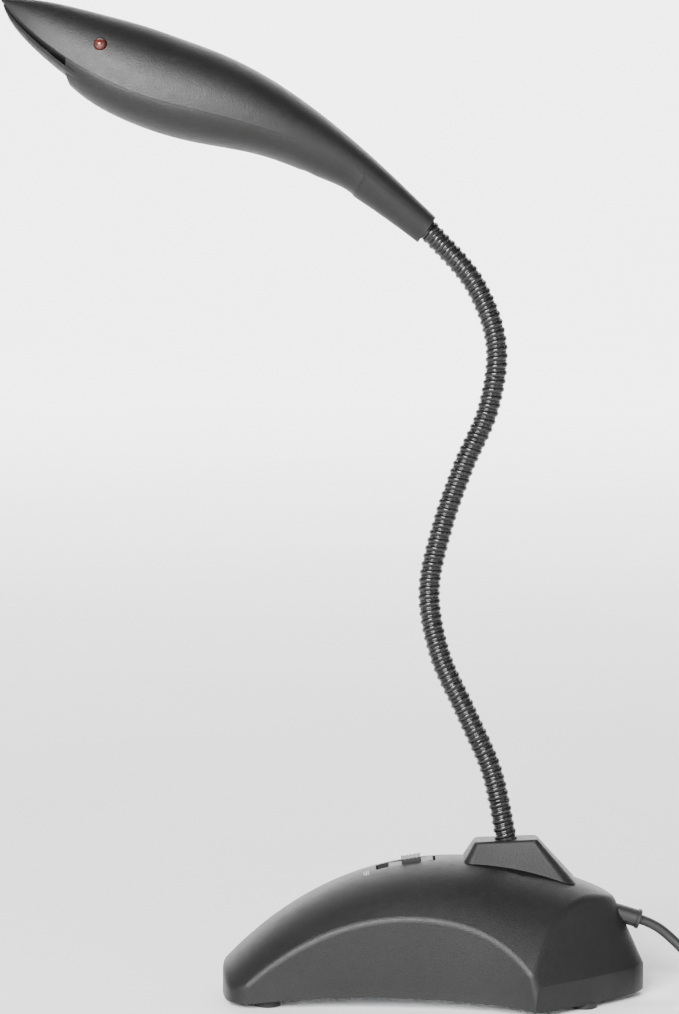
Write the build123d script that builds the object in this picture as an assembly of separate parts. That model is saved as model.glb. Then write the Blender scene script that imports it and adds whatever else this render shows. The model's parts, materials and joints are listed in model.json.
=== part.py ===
from build123d import *
import math
import os

# Desk microphone on a gooseneck. Millimetres. X runs from the nose of the base (front, -X) to the
# cord exit (rear, +X), Y runs across, Z is up. The origin is on the desk under the middle of the base.

# Base housing
BASE_FRONT_X, BASE_REAR_X = -53.0, 53.0
PEAK_X, PEAK_Z = 5.0, 35.0          # highest point of the ridge line
NOSE_Z = 8.0                        # height of the ridge line at the nose
REAR_SAG = 0.00603                  # fall of the ridge behind the peak, per mm squared
CROWN, CROWN_POWER = 0.0057, 2.5    # fall of the roof away from the ridge
REAR_RIM_Z = 8.0                    # below this the rear wall is upright
REAR_LEAN = 1 / math.tan(math.radians(66))
SHOULDER = 3.0                      # radius of the shoulder above the rear slope
TAIL_V, TAIL_V_WIDTH, TAIL_BOW = 6.2, 6.0, 0.0065
NOSE_CORNER = (-46.0, 18.0)         # vertical edge at the front end of a side scoop
TAIL_CORNER_Y = 28.0                # half width at the rear end of a side scoop
RIM_Z = 1.5                         # underside of the rim
ARCH_FROM, ARCH_TO, ARCH_Z = -46.5, 27.0, 3.6
ARCH_EDGE = 2.4                     # rounding where the roof meets a side scoop
NOSE_EDGE = 2.5
WALL = 2.0
PLATE_Z, PLATE_THICK = 3.6, 1.5
FEET = {"front_near": (-41.5, -12.5), "front_far": (-41.5, 12.5),
        "rear_near": (37.0, -14.5), "rear_far": (37.0, 14.5)}
FOOT_RADIUS = 3.3
PLATE_SCREWS = [(-35.0, -7.5), (-35.0, 7.5), (29.0, -13.0), (29.0, 13.0)]

# Slide switch, in a frame on the ridge: u along the slope to the rear, v across, w outwards
SWITCH_X = -7.05
SLOT_LENGTH, SLOT_WIDTH = 15.2, 5.9
SLIDER_FROM, SLIDER_TO, SLIDER_WIDTH = -4.3, 6.9, 5.3
KNOB_FROM, KNOB_TO, KNOB_WIDTH, KNOB_PROUD = -0.95, 3.95, 4.8, 1.0
SLIDE_TRAVEL = 3.0
BOARD_W = -10.0                     # top face of the circuit board
BOARD_SCREW_U = 12.2

# Neck: centreline, then the joints spaced evenly along it
NECK_LINE = [(18.0, 39.8), (16.8, 49.3), (11.5, 64.3), (4.5, 79.3), (-0.75, 94.3), (-1.1, 104.3),
             (2.25, 119.3), (7.5, 134.3), (13.75, 149.3), (15.5, 159.3), (12.2, 174.3), (-2.0, 192.2)]
LINKS = 10
NECK_END_GAP = 1.7                  # from turret top and tail face to the first and last joint
CREST, VALLEY, CUP, BORE = 2.8, 2.5, 2.8, 1.2
RIM_BACK = 1.2                      # a link's rim stops this far short of the next joint
RIB_PITCH = 2.0
LEAD_RADIUS = 0.7

# Head: s runs along its axis from the tip, h is square to it and up, w is the half width
HEAD_TIP = Vector(-105.9, 0, 248.05)
HEAD_DROP = 28.22                   # degrees below level, tip to tail
HEAD_SCALE = 0.979                  # true length over station length
TAIL_FACE_DROP = 36.2
HEAD_LENGTH = 120.4
SHELL = 1.6
#           s     half w  crease   top
DOME = [(-0.8, 0.35, -0.2, 0.3), (1.4, 1.5, -0.8, 1.6), (6.0, 3.7, -2.0, 3.85), (14.0, 6.6, -3.7, 6.5),
        (27.0, 9.6, -4.8, 9.7), (42.0, 11.6, -3.8, 12.5), (60.0, 12.0, 0.4, 14.5), (78.0, 10.6, 4.0, 13.5),
        (94.0, 8.0, 5.0, 10.7), (108.0, 5.7, 2.8, 7.3), (122.0, 4.0, 0.1, 3.5)]
#           s     half w  crease  bottom
KEEL = [(18.0, 7.0, -4.1, -9.0), (24.0, 8.2, -4.7, -10.35), (30.0, 9.5, -4.9, -11.5),
        (42.0, 11.1, -3.8, -11.4), (54.0, 11.6, -1.2, -9.4), (66.0, 11.2, 2.0, -5.8),
        (78.0, 10.1, 4.0, -2.7), (90.0, 8.4, 5.1, -1.3), (101.0, 6.6, 4.2, -1.5)]
TAIL = [(100.25, 6.95, 4.26, -1.42), (108.0, 5.7, 2.8, -2.2), (122.0, 4.0, 0.1, -4.2)]
LIP = [(0.1, 0.4, -0.5, -0.8), (2.6, 1.5, -1.9, -2.8), (6.0, 2.9, -3.2, -4.6), (12.0, 5.0, -4.8, -6.6),
       (18.0, 6.6, -6.0, -8.0), (26.5, 7.9, -7.2, -9.2)]
THROAT = [(0.3, 0.3, -0.4, -0.7), (4.0, 1.8, -1.4, -3.0), (12.0, 4.6, -3.2, -5.4), (18.0, 6.3, -4.1, -6.5),
          (26.5, 7.9, -4.5, -7.5)]
NOTCH = [(20.4, -4.3), (22.3, -8.4), (24.4, -10.5)]     # front of the cover, from crease to underside
COVER_END = 99.9
SEAM = [(99.9, 6.5, 4.3, -1.3), (101.0, 6.35, 4.2, -1.2)]       # floor of the groove behind the cover
LAMP_S, LAMP_H, LAMP_TILT = 26.7, 2.2, 22.0
LAMP_RADIUS = 1.5
CAPSULE_S = 16.0

# Cord
CORD_DIA = 2.5
CORD_EXIT = Vector(52.0, 0, 19.1)
CORD_DROP = 17.3
COIL_CENTRE = (84.5, 3.0)
COIL_INNER, COIL_COLUMNS, COIL_LAYERS = 7.5, 5, 4
COIL_LIFT = 0.6
CORD_ROUTE = [(52.0, 0, 19.1), (55.6, 0, 17.98), (60.6, -0.3, 13.9), (65.8, -1.8, 8.4), (71.0, -5.5, 4.0),
              (76.8, -10.6, 2.1), (84.5, -14.5, 1.85)]
TAIL_ROUTE = [(69.6, 1.4, 9.4), (71.9, -5.4, 10.2), (76.9, -10.0, 12.4), (83.6, -11.4, 14.3),
              (90.5, -11.4, 14.3)]
RELIEF_LENGTH, RELIEF_FLANGE = 12.8, 2.8

os.makedirs("parts", exist_ok=True)
NODES = {}


def keep(name, *shapes):
    """Store one node; several shapes stay separate solids."""
    solids = [s for shape in shapes for s in shape.solids()]
    NODES[name] = Compound(children=solids) if len(solids) > 1 else solids[0]


def largest(shape):
    """The main solid of a shape, without slivers left by a cut."""
    return max(shape.solids(), key=lambda solid: solid.volume)


def block(x0, x1, y0, y1, z0, z1):
    size = Box(x1 - x0, y1 - y0, z1 - z0)
    return Pos((x0 + x1) / 2, (y0 + y1) / 2, (z0 + z1) / 2) * size


def rod(start, end, radius):
    """A round rod between two points."""
    start, end = Vector(start), Vector(end)
    along = end - start
    disc = Plane(origin=start, z_dir=along.normalized()) * Circle(radius)
    return extrude(disc, amount=along.length)


def turned(edges, origin, direction):
    """Revolve a closed profile, drawn with x as radius and y as height, about an axis in space."""
    solid = revolve(Plane.XZ * make_face(edges), axis=Axis.Z)
    return Plane(origin=origin, z_dir=direction) * solid


def lathe(points, origin, direction):
    return turned(Polyline(*points, close=True).edges(), origin, direction)


def tube(points, radius):
    """Straight runs joined by tangent arcs, each as large as its two runs allow."""
    points = [Vector(p) for p in points]
    radii = []
    for before, here, after in zip(points, points[1:], points[2:]):
        run_in, run_out = here - before, after - here
        half = math.radians(run_in.get_angle(run_out)) / 2
        radii.append(0.45 * min(run_in.length, run_out.length) / math.tan(half))
    path = FilletPolyline(*points, radius=radii)
    disc = Plane(origin=points[0], z_dir=points[1] - points[0]) * Circle(radius)
    solid = sweep(disc, path=path)
    print("tube radii", [round(r, 1) for r in radii], "length", round(path.length, 1),
          "volume ratio", round(solid.volume / (path.length * math.pi * radius**2), 4))
    return solid


# ---------------------------------------------------------------- base housing

def ridge(x):
    if x > PEAK_X:
        return PEAK_Z - REAR_SAG * (x - PEAK_X) ** 2
    part = ((PEAK_X - x) / (PEAK_X - BASE_FRONT_X)) ** 2
    return NOSE_Z + (PEAK_Z - NOSE_Z) * (1 - part) * (1 + 0.15 * part)


def retreat(y):
    """How far the rear outline stands forward of its apex at a given y: a rounded V."""
    return TAIL_V * (math.hypot(1, y / TAIL_V_WIDTH) - 1) + TAIL_BOW * y * y


def roof(x, y):
    return ridge(x) - CROWN * abs(y) ** CROWN_POWER


def roof_inside(x, y):
    step = 0.5
    rise_x = (roof(x + step, y) - roof(x - step, y)) / (2 * step)
    rise_y = (roof(x, y + step) - roof(x, y - step)) / (2 * step)
    return roof(x, y) - WALL * math.sqrt(1 + rise_x**2 + rise_y**2)


def under(height, lift=0.0):
    """The space under a height function, down to well below the desk."""
    xs = [-59 + 2.6 * i for i in range(46)]
    ys = [-32 + 2.5 * i - 0.25 for i in range(27)]
    grid = [[Vector(x, y, height(x, y) + lift) for y in ys] for x in xs]
    face = Face.make_surface_from_array_of_points(grid, tol=0.005)
    return Solid.extrude(face, Vector(0, 0, -90))


def outline(inset=0.0):
    """Plan of the base: flat rounded nose, scooped sides, V-shaped tail."""
    front = BASE_FRONT_X + inset
    nose_x, nose_y = NOSE_CORNER[0] + inset * 0.4, NOSE_CORNER[1] - inset
    tail_y = TAIL_CORNER_Y - inset * 1.2
    tail_x = BASE_REAR_X - retreat(tail_y) - inset * 1.2
    scoop = [(-32, 18.4), (-15, 19.5), (0, 21.1), (13, 23.4)]

    def half(side):
        nose = Spline((front, 0), (front + 0.7, side * (nose_y - 8)), (front + 2.2, side * (nose_y - 3)),
                      (nose_x, side * nose_y), tangents=[(0, side), (1, side * 0.18)])
        flank = Spline((nose_x, side * nose_y), *[(x, side * (y - inset)) for x, y in scoop],
                       (tail_x, side * tail_y))
        tail = Spline(*[(BASE_REAR_X - inset * 1.2 - retreat(tail_y * k / 5), side * tail_y * k / 5)
                        for k in range(5, -1, -1)])
        return [nose, flank, tail]

    return make_face([e for side in (1, -1) for line in half(side) for e in line.edges()])


def ahead_of_tail(inset=0.0):
    """The space in front of the rear wall: upright to the rim, then leaning forward."""
    across = [-34 + 3.4 * k for k in range(21)]
    points = [(BASE_REAR_X - inset * 1.2 - retreat(y), y, REAR_RIM_Z) for y in across]
    edge = Polyline(points[-1], (-70, 60, REAR_RIM_Z), (-70, -60, REAR_RIM_Z), points[0])
    level = make_face([Spline(*points), edge])
    lean = Vector(-REAR_LEAN, 0, 1)
    upper = extrude(level, amount=40 * lean.length, dir=lean.normalized())
    return upper + extrude(level, amount=-REAR_RIM_Z - 1)


def on_ridge(x):
    """A frame on the ridge: x along the slope, y across, z outwards."""
    slope = math.atan((ridge(x + 0.5) - ridge(x - 0.5)))
    return Plane(origin=(x, 0, ridge(x)), x_dir=(math.cos(slope), 0, math.sin(slope)),
                 z_dir=(-math.sin(slope), 0, math.cos(slope)))


SWITCH = on_ridge(SWITCH_X)


def make_base():
    crown = under(roof) & ahead_of_tail()
    shoulder = [e for e in crown.edges() if e.center().X > 20 and e.center().Z > 12 and e.length > 20]
    crown = fillet(shoulder, SHOULDER)
    outer = crown & extrude(Pos(0, 0, RIM_Z) * outline(), amount=60)
    arches = [e for e in outer.edges() if e.length > 60 and e.center().Z > 12 and abs(e.center().Y) > 15]
    outer = fillet(arches, ARCH_EDGE)
    brow = [e for e in outer.edges() if e.center().X < -51 and e.center().Z > 5 and e.length > 10]
    outer = fillet(brow, NOSE_EDGE)
    cavity = under(roof_inside) & ahead_of_tail(WALL) & extrude(Pos(0, 0, -1) * outline(WALL), amount=60)
    middle = ((ARCH_FROM + ARCH_TO) / 2, ARCH_Z)
    arch = make_face([ThreePointArc((ARCH_FROM, RIM_Z), middle, (ARCH_TO, RIM_Z)),
                      Polyline((ARCH_FROM, RIM_Z), (ARCH_FROM, -2), (ARCH_TO, -2), (ARCH_TO, RIM_Z))])
    arch = extrude(Plane.XZ * arch, amount=60, both=True)
    shell = outer - cavity
    pads = [Pos(x, y, (RIM_Z + PLATE_Z) / 2) * Cylinder(FOOT_RADIUS + 1.3, PLATE_Z - RIM_Z)
            for x, y in FEET.values()]
    for pad in pads:
        shell += pad & outer
    for x, y in PLATE_SCREWS:
        top = min(roof(x + dx, y + dy) for dx in (-2.6, 2.6) for dy in (-2.6, 2.6)) - 0.5
        boss = Pos(x, y, (top + PLATE_Z + PLATE_THICK) / 2) * Cylinder(2.6, top - PLATE_Z - PLATE_THICK)
        shell = shell + boss - rod((x, y, 0), (x, y, 14), 1.2)
    for u in (-BOARD_SCREW_U, BOARD_SCREW_U):
        boss = rod((u, 0, -2.5), (u, 0, BOARD_W), 2.2) - rod((u, 0, -5), (u, 0, BOARD_W - 1), 1.0)
        shell += SWITCH * boss
    slot = extrude(Pos(0, 0, -8) * RectangleRounded(SLOT_LENGTH, SLOT_WIDTH, 0.5), amount=12)
    shell -= SWITCH * slot
    shell -= arch
    return shell, outer


print("base")
housing, base_block = make_base()


# ---------------------------------------------------------------- turret

NECK_CURVE = Spline(*[(x, 0, z) for x, z in NECK_LINE])


def neck_points():
    """The joints, evenly spaced along the centreline."""
    first = NECK_END_GAP / NECK_CURVE.length
    return [NECK_CURVE.position_at(first + (1 - 2 * first) * k / LINKS) for k in range(LINKS + 1)]


PIVOTS = neck_points()
NECK_FOOT = ((PIVOTS[1] - PIVOTS[0]).normalized() + Vector(-0.08, 0, 1).normalized()).normalized()
TURRET_TOP = Vector(18.15, 0, 39.8)
TURRET_TILT = 2.3
TURRET_SCREWS = (10.4, 28.6)


def make_turret():
    top_plane = Plane(origin=TURRET_TOP) * Rot(0, -TURRET_TILT, 0)
    top = make_face(Polyline((-7.8, -3.9), (7.8, -3.6), (7.8, 3.6), (-7.8, 3.9), close=True).edges())
    low = make_face(Polyline((3.6, -9.8), (36.4, -7.4), (36.4, 7.4), (3.6, 9.8), close=True).edges())
    top = fillet(top.vertices(), 1.4)
    low = fillet(low.vertices(), 3.2)
    wedge = loft([Pos(0, 0, 28.4) * low, top_plane * top], ruled=True)
    wedge = fillet(wedge.edges().group_by(Axis.Z)[-1], 1.0)
    wedge -= under(roof, 0.2)
    spigot = block(12.6, 23.6, -3.4, 3.4, 29.5, 36.0)
    wedge += spigot
    wedge -= rod(PIVOTS[0] - NECK_FOOT * 18, PIVOTS[0] + NECK_FOOT * 2, CREST + 0.05)
    for x in TURRET_SCREWS:
        wedge -= rod((x, 0, 28), (x, 0, roof(x, 0) + 3.4), 0.9)
    return wedge


print("turret")
turret = make_turret()
housing -= block(12.5, 23.7, -3.5, 3.5, 25, 40)
for x in TURRET_SCREWS:
    housing -= rod((x, 0, 24), (x, 0, 40), 1.2)
EXIT_DIR = Vector(math.cos(math.radians(CORD_DROP)), 0, -math.sin(math.radians(CORD_DROP)))
housing -= rod(CORD_EXIT - EXIT_DIR * RELIEF_LENGTH, CORD_EXIT, 2.3)
housing -= rod(CORD_EXIT - EXIT_DIR * 16, CORD_EXIT - EXIT_DIR * (RELIEF_LENGTH - 1.4), RELIEF_FLANGE + 0.05)
screws = [rod((x, 0, roof(x, 0) - 4.2), (x, 0, roof(x, 0) - 2.9), 2.0) + rod((x, 0, roof(x, 0) - 2.9),
          (x, 0, roof(x, 0) + 3.0), 0.85) for x in TURRET_SCREWS]
keep("turret_screws", *screws)
keep("base_housing", housing)
keep("neck_turret", turret)


# ---------------------------------------------------------------- underside and weight

def make_underside():
    plate = extrude(Pos(0, 0, PLATE_Z) * outline(WALL + 0.4), amount=PLATE_THICK)
    screws = []
    for x, y in PLATE_SCREWS:
        plate -= rod((x, y, 0), (x, y, 10), 1.4)
        head = rod((x, y, PLATE_Z - 1.3), (x, y, PLATE_Z), 2.3)
        head -= block(x - 1.6, x + 1.6, y - 0.3, y + 0.3, 0, 2.9)
        screws.append(head + rod((x, y, PLATE_Z), (x, y, 12), 1.15))
    keep("base_plate", plate)
    keep("base_plate_screws", *screws)
    weight = block(-31, 13, -12.5, 12.5, PLATE_Z + PLATE_THICK, 14.0)
    keep("ballast_weight", chamfer(weight.edges().group_by(Axis.Z)[-1], 1.0))
    for name, (x, y) in FEET.items():
        foot = rod((x, y, 0), (x, y, RIM_Z), FOOT_RADIUS)
        keep("foot_" + name, fillet(foot.edges().group_by(Axis.Z)[0], 0.5))


# ---------------------------------------------------------------- slide switch

def make_switch():
    """Pieces of the switch in its own frame on the ridge."""
    mid = (SLIDER_FROM + SLIDER_TO) / 2
    span = SLIDER_TO - SLIDER_FROM
    knob_mid = (KNOB_FROM + KNOB_TO) / 2
    slider = Pos(mid, 0, -1.2) * Box(span, SLIDER_WIDTH, 1.8)
    slider += block(SLIDER_FROM - 1.2, SLIDER_TO + 1.2, -3.6, 3.6, -4.0, -3.1)
    slider += Pos(mid, 0, -2.5) * Box(span - 1.0, SLIDER_WIDTH - 1.0, 1.4)
    knob = block(KNOB_FROM, KNOB_TO, -KNOB_WIDTH / 2, KNOB_WIDTH / 2, -0.8, KNOB_PROUD)
    for k in range(4):
        u = KNOB_FROM + 0.95 + k
        knob -= block(u - 0.15, u + 0.15, -3, 3, KNOB_PROUD - 0.15, KNOB_PROUD + 1)
    slider += knob
    case = block(-5.5, 5.5, -3.0, 3.0, BOARD_W, -5.3) - block(-4.8, 4.8, -2.3, 2.3, -9.3, -5.9)
    case -= block(-3.2, 3.2, -1.5, 1.5, -6.5, -5)
    lever = block(knob_mid - 1.2, knob_mid + 1.2, -1.2, 1.2, -7.2, -4.0)
    bridge = block(knob_mid - 1.8, knob_mid + 1.8, -1.8, 1.8, -8.0, -7.2)
    pins = [rod((u, v, -12.6), (u, v, BOARD_W), 0.35) for u in (-3, 0, 3) for v in (-1.5, 1.5)]
    board = block(-14.5, 14.5, -6.5, 6.5, BOARD_W - 1.2, BOARD_W)
    for u in (-3, 0, 3):
        for v in (-1.5, 1.5):
            board -= rod((u, v, -15), (u, v, 0), 0.4)
    screws = []
    for u in (-BOARD_SCREW_U, BOARD_SCREW_U):
        board -= rod((u, 0, -15), (u, 0, 0), 1.2)
        screws.append(rod((u, 0, -12.4), (u, 0, -11.2), 2.0) + rod((u, 0, -11.2), (u, 0, -6.0), 0.95))
    keep("switch_slider", SWITCH * slider)
    keep("switch_actuator", SWITCH * lever)
    keep("switch_contact", SWITCH * bridge)
    keep("slide_switch_case", SWITCH * case)
    keep("switch_terminals", *[SWITCH * pin for pin in pins])
    keep("switch_board", SWITCH * board)
    keep("board_screws", *[SWITCH * screw for screw in screws])


# ---------------------------------------------------------------- places on the head

AXIS = Vector(math.cos(math.radians(HEAD_DROP)), 0, -math.sin(math.radians(HEAD_DROP)))
LIFT = Vector(math.sin(math.radians(HEAD_DROP)), 0, math.cos(math.radians(HEAD_DROP)))
TAIL_DIR = Vector(math.cos(math.radians(TAIL_FACE_DROP)), 0, -math.sin(math.radians(TAIL_FACE_DROP)))
TAIL_CENTRE = HEAD_TIP + AXIS * HEAD_LENGTH * HEAD_SCALE


def at_head(s, y, h):
    return HEAD_TIP + AXIS * s * HEAD_SCALE + LIFT * h + Vector(0, y, 0)


TAIL_BELOW = Plane(origin=TAIL_CENTRE, z_dir=TAIL_DIR) * Pos(0, 0, 10) * Box(60, 60, 20)
NECK_OUT = (PIVOTS[-2] - PIVOTS[-1]).normalized()
INWARD = (NECK_OUT * -0.3 - TAIL_DIR * 0.7).normalized()
FERRULE_LENGTH = 20.0
LAMP_DIR = Vector(0, -math.cos(math.radians(LAMP_TILT)), 0) + LIFT * math.sin(math.radians(LAMP_TILT))
LAMP_AT = at_head(LAMP_S, -8.75, LAMP_H)
COVER_SCREW_S = 87.0


# ---------------------------------------------------------------- neck

def socket_end(length):
    """Top end of a link: a hollow ball seat about the next joint."""
    rim = math.sqrt(CUP**2 - RIM_BACK**2)
    floor = math.sqrt(CUP**2 - BORE**2)
    half = math.radians(45)
    seat = (CUP * math.sin(half), length - CUP * math.cos(half))
    return [(rim, length - RIM_BACK), seat, (BORE, length - floor)]


def ball_end():
    """Lower end of a link: a ball about its own joint, flared inside for the lead."""
    low = -1.6
    return [(math.sqrt(VALLEY**2 - low**2), low), (math.sqrt(VALLEY**2 - 0.64), -0.8), (VALLEY, 0)]


def link(start, end):
    length = (end - start).length
    rim, seat, floor = socket_end(length)
    low, side, equator = ball_end()
    count = round((length - RIM_BACK) / RIB_PITCH)
    step = (length - RIM_BACK) / count
    edges = [ThreePointArc(low, side, equator)]
    at = equator
    for k in range(count):
        top = rim if k == count - 1 else (VALLEY, step * (k + 1))
        edges.append(ThreePointArc(at, (CREST, step * (k + 0.5)), top))
        at = top
    edges += [ThreePointArc(rim, seat, floor), Line(floor, (BORE, 1.0)), Line((BORE, 1.0), (1.72, -1.6)),
              Line((1.72, -1.6), low)]
    return turned(edges, start, end - start)


def make_neck():
    for k in range(LINKS):
        start, end = PIVOTS[k], PIVOTS[k + 1]
        along = (end - start).normalized()
        keep(f"neck_link_{k + 1:02d}", link(start, end))
        keep(f"neck_lead_{k + 1:02d}", rod(start + along * 0.35, end - along * 2.6, LEAD_RADIUS))
    # the lower ferrule: a threaded tube through the turret with a ball seat on top
    foot, up = PIVOTS[0], NECK_FOOT
    rim, seat, floor = socket_end(0)
    bottom = -16.5
    profile = [ThreePointArc(rim, seat, floor),
               Polyline(floor, (BORE, bottom), (2.6, bottom), (2.6, -3.0), (2.7, -2.6), rim)]
    keep("neck_ferrule_lower", turned(profile, foot, up))
    nut = extrude(RegularPolygon(4.4, 6), amount=2.6) - Cylinder(2.62, 10)
    keep("neck_nut", Plane(origin=foot + up * -15.4, z_dir=up) * nut)
    # the upper ferrule: a ball end under the head, held in its tail by a clip
    low, side, equator = ball_end()
    length, groove = FERRULE_LENGTH, FERRULE_LENGTH - 1.9
    profile = [ThreePointArc(low, side, equator),
               Polyline(equator, (2.5, groove), (2.1, groove), (2.1, groove + 0.9), (2.5, groove + 0.9),
                        (2.5, length), (BORE, length), (BORE, 1.0), (1.72, low[1]), low)]
    keep("neck_ferrule_upper", turned(profile, PIVOTS[-1], INWARD))
    clip = Circle(3.0) - Circle(2.15) - Pos(3, 0) * Rectangle(6, 2.4)
    seat = Plane(origin=PIVOTS[-1] + INWARD * (groove + 0.1), z_dir=INWARD)
    keep("ferrule_clip", seat * extrude(clip, amount=0.7))


# ---------------------------------------------------------------- head

def bow(width, crease, peak, power):
    """Half of an oval from crease to crease over (or under) the axis."""
    steps = 12
    points = []
    for k in range(steps + 1):
        angle = math.pi * k / steps
        across = math.copysign(abs(math.cos(angle)) ** (2 / power), math.cos(angle))
        points.append((width * across, crease + (peak - crease) * math.sin(angle) ** (2 / power)))
    return Spline(*points)


def hull(stations, power, side=0.0, cap=0.0, base=0.0):
    """Loft of half ovals along the head, pulled in by a wall thickness."""
    sections = []
    for s, width, crease, peak in stations:
        rise = math.copysign(cap, peak - crease)
        width, crease, peak = width - side, crease + base, peak - rise
        arch = bow(width, crease, peak, power)
        shape = make_face([*arch.edges(), Line((-width, crease), (width, crease))])
        sections.append(Plane(origin=at_head(s, 0, 0), x_dir=(0, 1, 0), z_dir=AXIS) * shape)
    return loft(sections)


def make_head():
    dome, tail = hull(DOME, 2.3), hull(TAIL, 2.0, base=0.6) + hull(SEAM, 2.0, base=0.6)
    keel, lip, throat = hull(KEEL, 2.0, base=0.2), hull(LIP, 2.0), hull(THROAT, 2.0)
    shell = dome + tail - TAIL_BELOW - hull(DOME[2:-1], 2.3, SHELL, SHELL, -0.6)
    shell -= rod(at_head(93, 0, 5.0), at_head(108.5, 0, 2.7), 3.15)
    shell -= rod(PIVOTS[-1] - INWARD * 3, PIVOTS[-1] + INWARD * (FERRULE_LENGTH + 2), 2.53)
    post = rod(at_head(COVER_SCREW_S, 0, 11.0), at_head(COVER_SCREW_S, 0, 0.7), 2.4)
    shell += post - rod(at_head(COVER_SCREW_S, 0, 7.5), at_head(COVER_SCREW_S, 0, 0), 0.95)
    shell -= rod(LAMP_AT - LAMP_DIR * 3.2, LAMP_AT + LAMP_DIR * 4, LAMP_RADIUS + 0.12)
    keep("head_upper_shell", shell)
    inside = hull(KEEL, 2.0, SHELL, SHELL, 0.25)
    corners = [at_head(s, 0, h) for s, h in NOTCH]
    for upper, lower in zip(corners, corners[1:]):
        ahead = Plane(origin=upper, x_dir=(0, 1, 0), z_dir=Vector(0, 1, 0).cross(lower - upper))
        keel -= ahead * Pos(0, 0, 10) * Box(40, 40, 20)
        inside -= ahead * Pos(0, 0, 10 - SHELL) * Box(40, 40, 20)
    keel -= Plane(origin=at_head(COVER_END, 0, 0), z_dir=AXIS) * Pos(0, 0, 10) * Box(40, 40, 20)
    cover = keel - inside - dome - tail
    cover -= rod(at_head(COVER_SCREW_S, 0, -4), at_head(COVER_SCREW_S, 0, 3), 1.1)
    cover -= rod(at_head(COVER_SCREW_S, 0, -4), at_head(COVER_SCREW_S, 0, -0.7), 2.2)
    keep("head_lower_cover", largest(cover))
    screw = rod(at_head(COVER_SCREW_S, 0, -1.4), at_head(COVER_SCREW_S, 0, -0.7), 2.0)
    screw -= Plane(origin=at_head(COVER_SCREW_S, 0, -1.4), z_dir=AXIS) * Box(0.7, 3, 1.2)
    screw += rod(at_head(COVER_SCREW_S, 0, -0.7), at_head(COVER_SCREW_S, 0, 6.5), 0.9)
    keep("head_cover_screw", screw)
    grille = lip + throat - keel - dome - rod(at_head(CAPSULE_S, 0, -6.3), at_head(CAPSULE_S, 0, 2), 4.0)
    for k in range(-2, 3):
        slot = Box(11 - abs(k), 0.8, 4)
        grille -= Plane(origin=at_head(14.4, k * 1.6, -7.2), x_dir=AXIS, z_dir=LIFT) * slot
    keep("mic_grille", largest(grille))


def make_head_inside():
    face, back = at_head(CAPSULE_S, 0, -5.3), at_head(CAPSULE_S, 0, -0.6)
    up = (back - face).normalized()
    keep("foam_disc", rod(face - up * 0.9, face, 2.9))
    capsule = rod(face, back, 3.0)
    keep("electret_capsule", chamfer(capsule.edges(), 0.25))
    keep("capsule_boot", rod(face + up * 0.2, back + up * 0.9, 3.9) - rod(face, back, 3.02))
    lamp = rod(LAMP_AT - LAMP_DIR * 4.2, LAMP_AT - LAMP_DIR * 0.3, LAMP_RADIUS)
    lamp += Plane(origin=LAMP_AT - LAMP_DIR * 0.3, z_dir=LAMP_DIR) * Sphere(LAMP_RADIUS)
    keep("indicator_lamp", lamp + rod(LAMP_AT - LAMP_DIR * 4.2, LAMP_AT - LAMP_DIR * 3.4, 1.9))
    foot = LAMP_AT - LAMP_DIR * 4.2
    feet = [foot + AXIS * offset for offset in (-0.65, 0.65)]
    keep("lamp_leads", *[rod(at, at - LAMP_DIR * 2.6, 0.25) for at in feet])
    start = PIVOTS[-1] + INWARD * FERRULE_LENGTH
    route = [start, start + INWARD * 4, at_head(89, 4.2, 5.8), at_head(74, 4.2, 7.0), at_head(54, 2.0, 5.0),
             at_head(36, 1.0, 2.6), at_head(20, 0.4, 1.9)]
    keep("head_lead", tube(route, LEAD_RADIUS))


# ---------------------------------------------------------------- cord, its ends, and leads in the base

def make_cord():
    flange, back = RELIEF_FLANGE, -RELIEF_LENGTH
    profile = Polyline((0.6, back), (flange, back), (flange, back + 1.4), (2.25, back + 1.4), (2.25, -1.0),
                       (2.5, -0.8), (2.5, -0.1), (2.4, 0), (0.6, 0), close=True)
    keep("strain_relief", turned(profile.edges(), CORD_EXIT, EXIT_DIR))
    radius = CORD_DIA / 2
    x, y = COIL_CENTRE
    outer = COIL_INNER + (COIL_COLUMNS - 1) * CORD_DIA + radius
    height = COIL_LAYERS * CORD_DIA
    coil = Cylinder(outer, height) - Cylinder(COIL_INNER - radius, height)
    coil = Pos(x, y, COIL_LIFT + height / 2) * fillet(coil.edges().filter_by(GeomType.CIRCLE), 1.1)
    keep("cord_coil", coil)
    keep("cord_tube", tube(CORD_ROUTE, radius) - coil, tube(TAIL_ROUTE, radius) - coil)
    middle, half = (outer + COIL_INNER - radius) / 2, (outer - COIL_INNER + radius) / 2
    band = Box(2 * half + 1.2, 2.6, height + 2 * COIL_LIFT) - Box(2 * half + 0.3, 5, height + 0.2)
    band = Pos(middle, 0, COIL_LIFT + height / 2) * band
    keep("cord_tie", Pos(x, y, 0) * Rot(0, 0, 35) * band)


def make_plug():
    x, y, z = TAIL_ROUTE[-1]
    at, along = Vector(x, y, z), Vector(1, 0, 0)
    body = [(0.3, 0), (1.9, 0), (2.6, 7.0), (3.4, 7.4), (3.7, 9.0), (3.7, 20.0), (3.3, 21.5), (0.3, 21.5)]
    tip = [(0, 31.5), (1.75, 31.5), (1.75, 32.6), (1.15, 33.4), (1.7, 34.3), (1.2, 35.6), (0, 36.0)]
    keep("plug_body", lathe(body, at, along))
    sleeve = [(0.5, 21.5), (2.6, 21.5), (2.6, 22.5), (1.75, 22.5), (1.75, 30.7), (0.5, 30.7)]
    keep("plug_sleeve", lathe(sleeve, at, along))
    keep("plug_insulator", lathe([(0.5, 30.7), (1.75, 30.7), (1.75, 31.5), (0.5, 31.5)], at, along))
    keep("plug_tip", lathe(tip, at, along))


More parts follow.
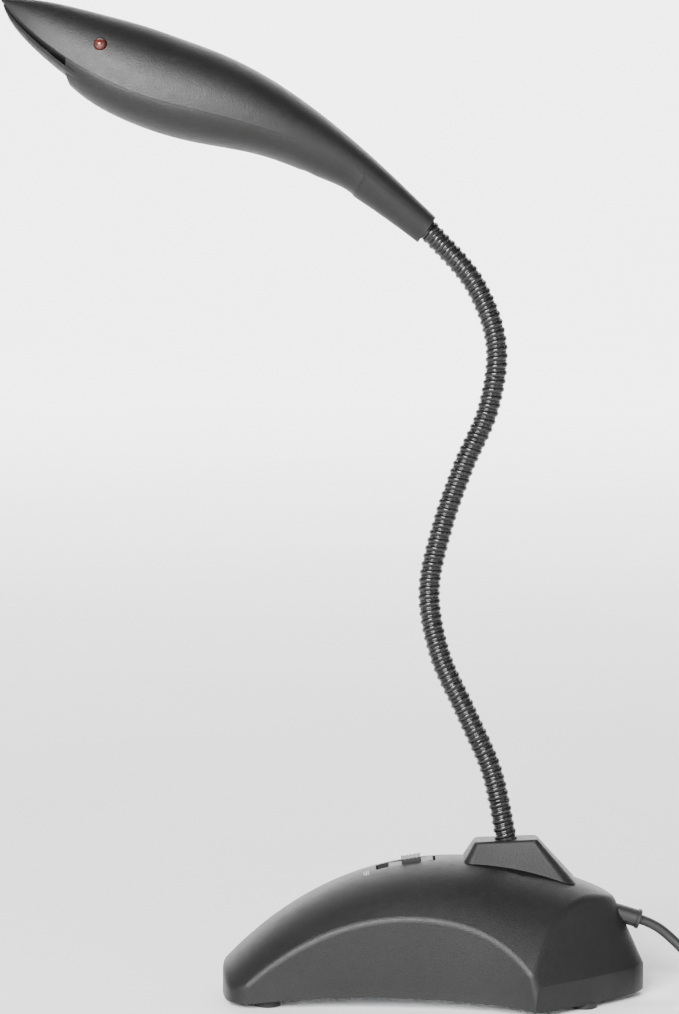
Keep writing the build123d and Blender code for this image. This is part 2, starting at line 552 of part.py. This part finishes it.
def make_base_leads():
    relief = CORD_EXIT - EXIT_DIR * RELIEF_LENGTH
    ferrule = PIVOTS[0] - NECK_FOOT * 16.5
    board = SWITCH * Pos(7, 0, BOARD_W - 1.2)
    end = board.position
    first = [relief, relief - EXIT_DIR * 5, (27, -1.5, 18.6), (16, -4, 17.6), (8, -4.2, 18.4),
             (end.X, -4.0, end.Z - 1.6)]
    second = [ferrule, ferrule - NECK_FOOT * 3.4, (14.5, 2.6, 18.6), (9.0, 3.8, 18.4),
              (end.X + 0.6, 4.0, end.Z - 1.6)]
    keep("base_leads", tube(first, LEAD_RADIUS), tube(second, LEAD_RADIUS))


print("head")
make_neck()
make_head()
make_head_inside()
make_cord()
make_plug()
make_base_leads()
make_underside()
make_switch()

for name, shape in NODES.items():
    export_step(shape, f"parts/{name}.step")
print(len(NODES), "nodes")
print("pivots", [tuple(round(c, 4) for c in p) for p in PIVOTS])
print("switch", tuple(round(c, 5) for c in SWITCH.x_dir))
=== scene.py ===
import json
import math

import bpy
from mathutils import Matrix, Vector


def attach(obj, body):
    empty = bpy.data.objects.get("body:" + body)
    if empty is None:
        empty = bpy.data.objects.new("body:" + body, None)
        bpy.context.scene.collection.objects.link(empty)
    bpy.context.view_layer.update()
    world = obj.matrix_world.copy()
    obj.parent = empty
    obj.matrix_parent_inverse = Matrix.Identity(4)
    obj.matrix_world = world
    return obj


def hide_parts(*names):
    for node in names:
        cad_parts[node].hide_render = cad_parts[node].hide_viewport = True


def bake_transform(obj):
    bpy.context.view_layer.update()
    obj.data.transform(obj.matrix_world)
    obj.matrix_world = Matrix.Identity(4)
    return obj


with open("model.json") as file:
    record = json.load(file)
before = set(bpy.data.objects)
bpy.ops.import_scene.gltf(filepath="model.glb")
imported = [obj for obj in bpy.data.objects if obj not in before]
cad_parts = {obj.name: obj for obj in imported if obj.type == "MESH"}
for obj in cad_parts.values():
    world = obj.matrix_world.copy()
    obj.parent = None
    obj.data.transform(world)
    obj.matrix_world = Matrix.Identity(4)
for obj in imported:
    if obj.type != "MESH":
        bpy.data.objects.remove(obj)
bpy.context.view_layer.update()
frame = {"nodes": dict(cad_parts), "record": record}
NODES = frame["nodes"]
MM = 0.001


# ------------------------------------------------------------------ materials

class Shader:
    """A material on the Principled shader, with short calls for the nodes that feed it."""

    def __init__(self, name, rough, metal=0.0, **sockets):
        self.mat = bpy.data.materials.new(name)
        self.mat.use_nodes = True
        self.tree = self.mat.node_tree
        self.bsdf = self.tree.nodes["Principled BSDF"]
        self.bsdf.inputs["Roughness"].default_value = rough
        self.bsdf.inputs["Metallic"].default_value = metal
        for key, value in sockets.items():
            self.bsdf.inputs[key.replace("_", " ")].default_value = value
        self.coord = self.node("ShaderNodeTexCoord").outputs["Object"]

    def node(self, kind, **settings):
        made = self.tree.nodes.new(kind)
        for key, value in settings.items():
            setattr(made, key, value)
        return made

    def link(self, a, b):
        self.tree.links.new(a, b)

    def noise(self, scale, detail=3.0, rough=0.55):
        made = self.node("ShaderNodeTexNoise")
        made.inputs["Scale"].default_value = scale
        made.inputs["Detail"].default_value = detail
        made.inputs["Roughness"].default_value = rough
        self.link(self.coord, made.inputs["Vector"])
        return made.outputs["Fac"]

    def cells(self, scale):
        made = self.node("ShaderNodeTexVoronoi")
        made.inputs["Scale"].default_value = scale
        self.link(self.coord, made.inputs["Vector"])
        return made.outputs["Distance"]

    def ramp(self, value, stops):
        made = self.node("ShaderNodeValToRGB")
        bar = made.color_ramp
        while len(bar.elements) < len(stops):
            bar.elements.new(0.5)
        for element, (at, colour) in zip(bar.elements, stops):
            element.position = at
            element.color = (*colour, 1.0)
        self.link(value, made.inputs["Fac"])
        return made.outputs["Color"]

    def spread(self, value, low, high):
        made = self.node("ShaderNodeMapRange")
        made.inputs["To Min"].default_value = low
        made.inputs["To Max"].default_value = high
        self.link(value, made.inputs["Value"])
        return made.outputs["Result"]

    def painted_light_edges(self):
        """Where an edge stands out, from the pointiness of the mesh; used for painted highlights on edges
        and crowns and painted shade in the hollows between them.
        """
        return self.node("ShaderNodeNewGeometry").outputs["Pointiness"]

    def mix(self, factor, a, b, blend="MIX"):
        made = self.node("ShaderNodeMix", data_type="RGBA", blend_type=blend)
        if isinstance(factor, float):
            made.inputs[0].default_value = factor
        else:
            self.link(factor, made.inputs[0])
        for socket, value in ((made.inputs[6], a), (made.inputs[7], b)):
            if isinstance(value, tuple):
                socket.default_value = (*value, 1.0)
            else:
                self.link(value, socket)
        return made.outputs[2]

    def colour(self, value):
        self.link(value, self.bsdf.inputs["Base Color"])

    def rough(self, value):
        self.link(value, self.bsdf.inputs["Roughness"])

    def bump(self, *layers):
        """Bump layers of (height, distance in metres, strength), one on another."""
        normal = None
        for height, distance, strength in layers:
            made = self.node("ShaderNodeBump")
            made.inputs["Distance"].default_value = distance
            made.inputs["Strength"].default_value = strength
            self.link(height, made.inputs["Height"])
            if normal is not None:
                self.link(normal, made.inputs["Normal"])
            normal = made.outputs["Normal"]
        self.link(normal, self.bsdf.inputs["Normal"])


def grey(value, warm=0.0):
    return (value * (1 + warm), value, value * (1 - warm))


def moulded(name, shade, rough, grain=1.0, pit=1.0):
    """Dark ABS with a spark-eroded surface: fine pits, faint mottling, and edges painted paler as a painted
    highlight.
    """
    s = Shader(name, rough, Specular_IOR_Level=0.30)
    mottle = s.ramp(s.noise(55, 4), [(0.3, grey(shade * 0.86, 0.01)), (0.7, grey(shade * 1.12, 0.01))])
    specks = s.ramp(s.noise(2600, 2), [(0.35, grey(0.55)), (0.65, grey(1.35))])
    body = s.mix(0.45, mottle, specks, "MULTIPLY")
    # painted highlight: edges that stand out are painted paler than the flat plastic
    edge = s.ramp(s.painted_light_edges(), [(0.52, (0, 0, 0)), (0.62, (1, 1, 1))])
    s.colour(s.mix(edge, body, grey(shade * 1.7, 0.01)))
    s.rough(s.spread(s.noise(420, 3), rough - 0.07, rough + 0.09))
    s.bump((s.noise(2700, 3, 0.6), 0.00012 * pit, 0.5 * grain), (s.cells(3800), 0.00006 * pit, 0.4 * grain))
    return s.mat


def satin(name, shade, rough, scale=900):
    """Soft satin plastic or rubber with a faint bloom and a fine skin."""
    s = Shader(name, rough, Specular_IOR_Level=0.45)
    s.colour(s.ramp(s.noise(120, 4), [(0.3, grey(shade * 0.85)), (0.7, grey(shade * 1.2))]))
    s.rough(s.spread(s.noise(260, 3), rough - 0.06, rough + 0.1))
    s.bump((s.noise(scale, 3), 0.00006, 0.35))
    return s.mat


def coated(name):
    """Glossy black coating on wound wire, painted darker in the grooves as painted shade, the crowns a flat
    black.
    """
    s = Shader(name, 0.26, Specular_IOR_Level=0.42, Coat_Weight=0.12, Coat_Roughness=0.12)
    # painted shade: a darker random tone in the grooves, below the flat black of the crowns
    groove_shade_mottle = s.ramp(s.noise(500, 4), [(0.35, grey(0.004)), (0.75, grey(0.010))])
    crown = s.ramp(s.painted_light_edges(), [(0.5, (0, 0, 0)), (0.64, (1, 1, 1))])
    s.colour(s.mix(crown, groove_shade_mottle, grey(0.010)))
    s.rough(s.spread(s.noise(900, 3), 0.17, 0.34))
    s.bump((s.noise(1800, 2), 0.00004, 0.3))
    return s.mat


def metal(name, colour, rough, lines=0.0):
    s = Shader(name, rough, 1.0)
    s.colour(s.ramp(s.noise(140, 4), [(0.3, tuple(0.88 * c for c in colour)), (0.7, colour)]))
    s.rough(s.spread(s.noise(700, 3), rough - 0.05, rough + 0.12))
    s.bump((s.noise(2200, 2), 0.00003, 0.2 + lines))
    return s.mat


def lamp_lens():
    """Unlit red epoxy: brownish from outside, a little brighter at the crown."""
    s = Shader("lens_red", 0.28, Coat_Weight=0.4, Coat_Roughness=0.1, Subsurface_Weight=0.15,
               Subsurface_Radius=(0.002, 0.0006, 0.0004), Subsurface_Scale=1.0)
    s.colour(s.ramp(s.noise(900, 2), [(0.3, (0.05, 0.009, 0.006)), (0.7, (0.09, 0.014, 0.010))]))
    s.bump((s.noise(1600, 2), 0.00004, 0.2))
    return s.mat


def foam_cells():
    s = Shader("foam_black", 0.95, Sheen_Weight=0.3, Sheen_Roughness=0.6)
    s.colour(s.ramp(s.cells(2200), [(0.1, grey(0.008)), (0.6, grey(0.045))]))
    s.bump((s.cells(2200), 0.0003, 0.9))
    return s.mat


def board_green():
    s = Shader("board_green", 0.4, Coat_Weight=0.3)
    s.colour(s.ramp(s.noise(300, 3), [(0.4, (0.01, 0.09, 0.03)), (0.6, (0.02, 0.14, 0.05))]))
    s.bump((s.noise(900, 2), 0.00005, 0.3))
    return s.mat


FINISH = {
    "housing_plastic": moulded("abs_base", 0.007, 0.45),
    "head_plastic": moulded("abs_head", 0.007, 0.42, 0.9),
    "switch_plastic": moulded("abs_switch", 0.009, 0.42, 0.5, 0.6),
    "inner_plastic": satin("nylon_inner", 0.05, 0.5),
    "foot_rubber": satin("rubber_foot", 0.012, 0.7, 1500),
    "cord_pvc": satin("pvc_cord", 0.014, 0.42, 700),
    "neck_coating": coated("neck_black"),
    "steel": metal("steel_zinc", (0.56, 0.57, 0.58), 0.34, 0.2),
    "plug_metal": metal("nickel_plug", (0.78, 0.77, 0.74), 0.16),
    "brass": metal("brass_plain", (0.72, 0.55, 0.27), 0.3),
    "board": board_green(),
    "lamp_red": lamp_lens(),
    "foam": foam_cells(),
    "lead_pvc": satin("lead_grey", 0.09, 0.5),
    "print": satin("print_grey", 0.36, 0.55, 2000),
}


def paint(obj, material):
    if not obj.material_slots:
        obj.data.materials.append(material)
    for place in obj.material_slots:
        place.material = material


for part in frame["record"]["subparts"]:
    paint(NODES[part["node"]], FINISH[part["material_slot"]])
for ferrule in ("neck_ferrule_lower", "neck_ferrule_upper"):
    paint(NODES[ferrule], FINISH["neck_coating"])


def add_mesh(name, verts, faces, slot_name):
    mesh = bpy.data.meshes.new(name)
    mesh.from_pydata([tuple(v) for v in verts], [], faces)
    mesh.update()
    mesh.shade_smooth()
    obj = bpy.data.objects.new(name, mesh)
    bpy.context.scene.collection.objects.link(obj)
    paint(obj, FINISH[slot_name])
    return obj


# ------------------------------------------------------------------ wound gooseneck

CHAIN = ["base"] + ["neck_%02d" % k for k in range(1, 11)] + ["head"]
PITCH = 2.0 * MM
OUTSIDE = 2.82 * MM                 # radius over the round wire
ROUND_SHARE = 0.70                  # share of the pitch that the round wire takes
ROUND_DEPTH = 0.62 * MM
FILLER_STEP = 0.22 * MM             # the filler wire's crown lies this far below the round wire's
FILLER_DEPTH = 0.40 * MM
AROUND = 56                         # points round a ring, and rings to one turn of wire
PER_TURN = 14
SAMPLES = 60                        # points on the centreline between two hinges

hinge_at = {j["child"]: Vector(j["pos_m"]) for j in frame["record"]["behaviour"]["joints"] if "pos_m" in j}
pivots = [hinge_at[body] for body in CHAIN[1:]]


def neck_line():
    """The neck's centreline as a smooth curve through the hinges, with each point's arc length."""
    into_turret, into_tail, turn = 0.24, 0.2, Vector((-0.2, 0, 0)) * MM
    first = pivots[0] + (pivots[0] - pivots[1]) * into_turret
    last = pivots[-1] + (pivots[-1] - pivots[-2]) * into_tail + turn
    before, after = first - (pivots[1] - pivots[0]) * 0.8, last + (last - pivots[-1]) * 4
    knots = [before, first, *pivots, last, after]
    points = []
    marks = []
    for a, b, c, d in zip(knots, knots[1:], knots[2:], knots[3:]):
        marks.append(len(points))
        ta = (b - a).length ** 0.5
        tb = ta + (c - b).length ** 0.5
        tc = tb + (d - c).length ** 0.5
        for k in range(SAMPLES):
            t = ta + (tb - ta) * k / SAMPLES
            p1 = a.lerp(b, t / ta)
            p2 = b.lerp(c, (t - ta) / (tb - ta))
            p3 = c.lerp(d, (t - tb) / (tc - tb))
            q1 = p1.lerp(p2, t / tb)
            q2 = p2.lerp(p3, (t - ta) / (tc - ta))
            points.append(q1.lerp(q2, (t - ta) / (tb - ta)))
    points.append(knots[-2])
    marks.append(len(points) - 1)
    along = [0.0]
    for p, q in zip(points, points[1:]):
        along.append(along[-1] + (q - p).length)
    return points, along, [along[m] for m in marks]


line, arc, knot_arc = neck_line()


def on_line(s):
    """Point and direction at arc length s."""
    low, high = 0, len(arc) - 1
    while high - low > 1:
        mid = (low + high) // 2
        if arc[mid] <= s:
            low = mid
        else:
            high = mid
    part = (s - arc[low]) / (arc[high] - arc[low])
    before = line[max(low - 1, 0)]
    after = line[min(high + 1, len(line) - 1)]
    return line[low].lerp(line[high], part), (after - before).normalized()


def wire_radius(turn):
    """Outside radius by place in one turn: a round wire, then the crown of a three-sided filler wire."""
    u = turn % 1.0
    if u < ROUND_SHARE:
        x = (u / ROUND_SHARE - 0.5) * 2
        return OUTSIDE - ROUND_DEPTH * (1 - math.sqrt(max(1 - x * x, 0.0)))
    x = ((u - ROUND_SHARE) / (1 - ROUND_SHARE) - 0.5) * 2
    return OUTSIDE - FILLER_STEP - FILLER_DEPTH * abs(x) ** 1.3


def wound(name, start, end):
    """A stretch of the winding: rings whose radius follows the two helical wires."""
    count = round((end - start) / PITCH * PER_TURN)
    side = Vector((0, 1, 0))
    verts, faces = [], []
    for i in range(count + 1):
        s = start + (end - start) * i / count
        centre, along = on_line(s)
        up = along.cross(side).normalized()
        for j in range(AROUND):
            angle = 2 * math.pi * j / AROUND
            r = wire_radius(s / PITCH + j / AROUND)
            verts.append(centre + (side * math.sin(angle) + up * math.cos(angle)) * r)
    for i in range(count):
        for j in range(AROUND):
            a, b = i * AROUND + j, i * AROUND + (j + 1) % AROUND
            faces.append((a, b, b + AROUND, a + AROUND))
    faces.append(tuple(range(AROUND))[::-1])
    faces.append(tuple(range(count * AROUND, (count + 1) * AROUND)))
    return add_mesh(name, verts, faces, "neck_coating")


pivot_arc = knot_arc[1:-1]
cuts = [0.0] + [(a + b) / 2 for a, b in zip(pivot_arc, pivot_arc[1:])] + [knot_arc[-1]]
for k, (start, end) in enumerate(zip(cuts, cuts[1:])):
    piece = wound("gooseneck_%02d" % (k + 1), start, end)
    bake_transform(piece)
    if CHAIN[k + 1] != "head":
        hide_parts("neck_link_%02d" % (k + 1))


# ------------------------------------------------------------------ cord

CORD_DIA = 2.5                      # this and the routes are in millimetres
CORD_ROUTE = [(52.0, 0, 19.1), (55.6, 0, 17.98), (60.6, -0.3, 13.9), (65.8, -1.8, 8.4), (71.0, -5.5, 4.0),
              (76.8, -10.6, 2.1), (84.5, -14.5, 1.85)]
TAIL_ROUTE = [(71.9, -5.4, 10.2), (76.9, -10.0, 12.4), (83.6, -11.4, 14.3), (90.5, -11.4, 14.3)]
COIL_CENTRE = (84.5, 3.0)
COIL_RADII = (7.5, 17.5)            # innermost and outermost turn
TOP_LAYER = 3                       # the layers count from 0
TURN_STEPS = 12                     # control points in a lap
STEP_POINTS = 2                     # points over which the cord steps sideways or up
POLYGON = 0.966                     # a smooth turn runs inside its twelve control points
LAPS = 18
TAIL_RADIUS, LAST_LAP, LAST_STEP = 15.0, 16, 8      # where the free end leaves the top layer
NEAR = 0.1


def coil_points():
    """The coil's four layers, wound inwards and outwards by turns.

    In each lap the cord steps over to the next radius, or up to the next layer, at a place that moves on
    from layer to layer, so that it keeps clear of the turn beside it.
    """
    radius, z, radius_step, layer = COIL_RADII[1], CORD_ROUTE[-1][2], -CORD_DIA, 0
    points = []
    change = None                   # step in radius, step in height, points still to go
    for k in range(1, LAPS * TURN_STEPS + 1):
        lap, step = divmod(k - 1, TURN_STEPS)
        sideways = (10 - 4 * layer) % TURN_STEPS
        upwards = (sideways - 2) % TURN_STEPS
        inner = radius <= COIL_RADII[0] + NEAR
        outer = radius >= COIL_RADII[1] - NEAR
        full = (inner and radius_step < 0) or (outer and radius_step > 0)
        if change is None and not full and step == sideways:
            change = [radius_step, 0.0, STEP_POINTS]
        if change is None and full and layer < TOP_LAYER and step == upwards:
            change = [0.0, CORD_DIA, STEP_POINTS]
        if change is not None:
            radius += change[0] / STEP_POINTS
            z += change[1] / STEP_POINTS
            change[2] -= 1
            if change[2] == 0:
                if change[1]:
                    layer += 1
                    radius_step = -radius_step
                change = None
        angle = math.radians(360 * k / TURN_STEPS - 90)
        points.append((COIL_CENTRE[0] + radius / POLYGON * math.cos(angle),
                       COIL_CENTRE[1] + radius / POLYGON * math.sin(angle), z))
        if layer == TOP_LAYER and radius > TAIL_RADIUS - NEAR and step == LAST_STEP and lap >= LAST_LAP:
            break
    return points


def make_cord():
    route = CORD_ROUTE + coil_points() + TAIL_ROUTE
    curve = bpy.data.curves.new("cord", "CURVE")
    curve.dimensions = "3D"
    spline = curve.splines.new("NURBS")
    spline.points.add(len(route) - 1)
    for point, at in zip(spline.points, route):
        point.co = (at[0] * MM, at[1] * MM, at[2] * MM, 1.0)
    spline.order_u = 3
    spline.use_endpoint_u = True
    spline.resolution_u = 6
    curve.bevel_depth = CORD_DIA / 2 * MM
    curve.bevel_resolution = 4
    curve.use_fill_caps = True
    cord = bpy.data.objects.new("cord", curve)
    bpy.context.scene.collection.objects.link(cord)
    curve.materials.append(FINISH["cord_pvc"])
    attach(cord, "base")
    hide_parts("cord_tube", "cord_coil")


make_cord()


# ------------------------------------------------------------------ printed mark beside the switch

MARK_AT = (-17.0 * MM, -3.2 * MM)
MARK_SIZE = 2.1 * MM
MARK_THICK = 0.015 * MM             # half of the letters' thickness
MARK_LIFT = 0.01 * MM               # their middle stands this far off the plastic
ABOVE_BASE = 0.1


def printed_mark(name, words, at, size):
    """Pale letters that lie on the housing, read from the front of the base."""
    text = bpy.data.curves.new(name, "FONT")
    text.body = words
    text.size = size
    text.align_x, text.align_y = "CENTER", "CENTER"
    text.extrude = MARK_THICK
    text.resolution_u = 3
    made = bpy.data.objects.new(name + "_outline", text)
    bpy.context.scene.collection.objects.link(made)
    bpy.context.view_layer.update()
    mesh = bpy.data.meshes.new_from_object(made.evaluated_get(bpy.context.evaluated_depsgraph_get()))
    bpy.data.objects.remove(made)
    housing = NODES["base_housing"]
    for vert in mesh.vertices:
        x, y = at[0] + vert.co.y, at[1] - vert.co.x
        spot = housing.ray_cast(Vector((x, y, ABOVE_BASE)), Vector((0, 0, -1)))[1]
        vert.co = (x, y, spot.z + MARK_LIFT + vert.co.z)
    obj = bpy.data.objects.new(name, mesh)
    bpy.context.scene.collection.objects.link(obj)
    paint(obj, FINISH["print"])
    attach(obj, "base")


printed_mark("mark_off", "OFF", MARK_AT, MARK_SIZE)


# ------------------------------------------------------------------ stage, light, camera

def area_light(name, at, target, size, energy):
    data = bpy.data.lights.new(name, "AREA")
    data.shape = "RECTANGLE"
    data.size, data.size_y = size
    data.energy = energy
    obj = bpy.data.objects.new(name, data)
    bpy.context.scene.collection.objects.link(obj)
    obj.location = at
    obj.rotation_euler = (Vector(target) - Vector(at)).to_track_quat("-Z", "Y").to_euler()


def pale_floor():
    """A pale sheet that lies flat and sweeps up far behind the object."""
    run, bend, tall, half = 2.6, 1.0, 3.0, 5.0
    profile = [(-3.0, 0.0), (run, 0.0)]
    for degrees in range(5, 91, 5):
        angle = math.radians(degrees)
        profile.append((run + bend * math.sin(angle), bend * (1 - math.cos(angle))))
    profile.append((run + bend, tall))
    verts = [(x, y, z) for y, z in profile for x in (-half, half)]
    faces = [(2 * k, 2 * k + 1, 2 * k + 3, 2 * k + 2) for k in range(len(profile) - 1)]
    mesh = bpy.data.meshes.new("floor")
    mesh.from_pydata(verts, [], faces)
    mesh.shade_smooth()
    obj = bpy.data.objects.new("floor", mesh)
    bpy.context.scene.collection.objects.link(obj)
    s = Shader("paper", 0.9, Specular_IOR_Level=0.1)
    s.colour(s.ramp(s.noise(6, 2), [(0.4, grey(0.93)), (0.6, grey(0.95))]))
    s.bump((s.noise(500, 2), 0.0001, 0.05))
    paint(obj, s.mat)


def soft_world():
    """A white room round the sides that darkens overhead, like a small product booth."""
    white_below, dark_above = 0.45, 0.72        # sine of the angle above the horizon
    world = bpy.data.worlds.new("studio")
    world.use_nodes = True
    tree = world.node_tree
    background = tree.nodes["Background"]
    background.inputs["Strength"].default_value = 0.55
    coord = tree.nodes.new("ShaderNodeTexCoord")
    split = tree.nodes.new("ShaderNodeSeparateXYZ")
    ramp = tree.nodes.new("ShaderNodeValToRGB")
    bar = ramp.color_ramp
    bar.elements[0].position, bar.elements[0].color = white_below, (*grey(1.0), 1.0)
    bar.elements[1].position, bar.elements[1].color = dark_above, (*grey(0.05), 1.0)
    tree.links.new(coord.outputs["Generated"], split.inputs[0])
    tree.links.new(split.outputs["Z"], ramp.inputs["Fac"])
    tree.links.new(ramp.outputs["Color"], background.inputs["Color"])
    bpy.context.scene.world = world


def photo_camera():
    """Square to the near side, a little above the middle of the microphone and tilted down to it."""
    data = bpy.data.cameras.new("camera")
    obj = bpy.data.objects.new("camera", data)
    bpy.context.scene.collection.objects.link(obj)
    aim = Vector((-23.6, 0, 123.45)) * MM
    distance, height = 0.9, 0.0916
    at = aim + Vector((0, -distance, height))
    obj.location = at
    obj.rotation_euler = (aim - at).to_track_quat("-Z", "Y").to_euler()
    data.sensor_width = 36.0
    data.lens = 129.0
    data.clip_start, data.clip_end = 0.01, 20.0
    bpy.context.scene.camera = obj


pale_floor()
soft_world()
area_light("key", (-0.40, -1.15, 0.62), (-0.02, 0, 0.14), (0.7, 0.5), 60)
area_light("fill", (0.9, -0.9, 0.45), (0, 0, 0.1), (0.6, 0.6), 3)
area_light("sweep", (0, 1.5, 2.3), (0, 3.0, 1.0), (3.0, 1.0), 330)
photo_camera()
